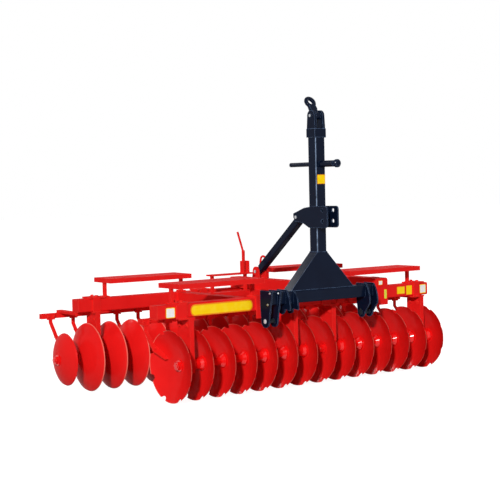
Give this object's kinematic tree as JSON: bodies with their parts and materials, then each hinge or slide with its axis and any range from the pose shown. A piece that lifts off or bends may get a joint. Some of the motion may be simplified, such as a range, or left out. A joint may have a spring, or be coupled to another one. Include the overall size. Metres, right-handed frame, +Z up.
{
  "type": "mounted offset disc harrow",
  "caption": "Three-point mounted disc harrow: two angled rows of dished discs on turning gangs under a box-section frame, with ballast trays, mast, brace and swinging lifting eye.",
  "frame": {"origin": "middle of the whole machine's footprint, on the ground", "axes": "+X to the right along the rows seen from the tractor side, +Y towards the rear, +Z up"},
  "size_m": [3.4138, 1.7674, 2.3643],
  "materials": {
    "red_paint": "gloss red paint",
    "black_paint": "satin blue-black paint",
    "zinc_steel": "bright zinc plate"
  },
  "bodies": {
    "frame": {"angle_quadrant": "red_paint", "bearing_housings": "red_paint", "brace_foot_fork": "red_paint", "centre_rail": "red_paint", "cross_member": "red_paint", "front_beam": "red_paint", "front_legs": "red_paint", "front_scraper_arms": "red_paint", "front_scraper_bar": "red_paint", "front_scraper_blades": "red_paint", "headstock_brackets": "black_paint", "headstock_cross_tube": "black_paint", "headstock_gusset": "black_paint", "headstock_pads": "red_paint", "leg_clamps": "red_paint", "lever": "red_paint", "lower_clevis_plates": "black_paint", "mast": "black_paint", "mast_brace": "black_paint", "mast_cheek_plates": "black_paint", "mast_long_pin": "black_paint", "mast_pins": "zinc_steel", "mast_top_clevis": "black_paint", "rear_beam": "red_paint", "rear_legs": "red_paint", "rear_scraper_arms": "red_paint", "rear_scraper_bar": "red_paint", "rear_scraper_blades": "red_paint", "right_rail": "red_paint", "scraper_hangers": "red_paint", "side_members": "red_paint", "tube_hooks": "black_paint", "weight_tray_front_left": "red_paint", "weight_tray_front_right": "red_paint", "weight_tray_rear_left": "red_paint", "weight_tray_rear_right": "red_paint"},
    "front_left_gang": {"front_left_discs": "red_paint", "front_left_axle": "red_paint"},
    "front_right_gang": {"front_right_discs": "red_paint", "front_right_axle": "red_paint"},
    "rear_left_gang": {"rear_left_discs": "red_paint", "rear_left_axle": "red_paint"},
    "rear_right_gang": {"rear_right_discs": "red_paint", "rear_right_axle": "red_paint"},
    "eye_link": {"lifting_eye": "black_paint"}
  },
  "joints": [
    {"name": "front_left_gang_turn", "type": "hinge", "parent": "frame", "child": "front_left_gang", "pos_m": [-0.61327, -0.43342, 0.28], "axis": [0.9996, 0.027, 0], "continuous": true},
    {"name": "front_right_gang_turn", "type": "hinge", "parent": "frame", "child": "front_right_gang", "pos_m": [0.84619, -0.39392, 0.28], "axis": [0.9996, 0.027, 0], "continuous": true},
    {"name": "rear_left_gang_turn", "type": "hinge", "parent": "frame", "child": "rear_left_gang", "pos_m": [-0.76367, 0.51708, 0.28], "axis": [0.9996, -0.027, 0], "continuous": true},
    {"name": "rear_right_gang_turn", "type": "hinge", "parent": "frame", "child": "rear_right_gang", "pos_m": [0.69579, 0.47758, 0.28], "axis": [0.9996, -0.027, 0], "continuous": true},
    {"name": "lifting_eye_swing", "type": "hinge", "parent": "frame", "child": "eye_link", "pos_m": [0.11646, -0.61367, 2.205], "axis": [1, 0, 0], "range_deg": [-55, 120]}
  ]
}
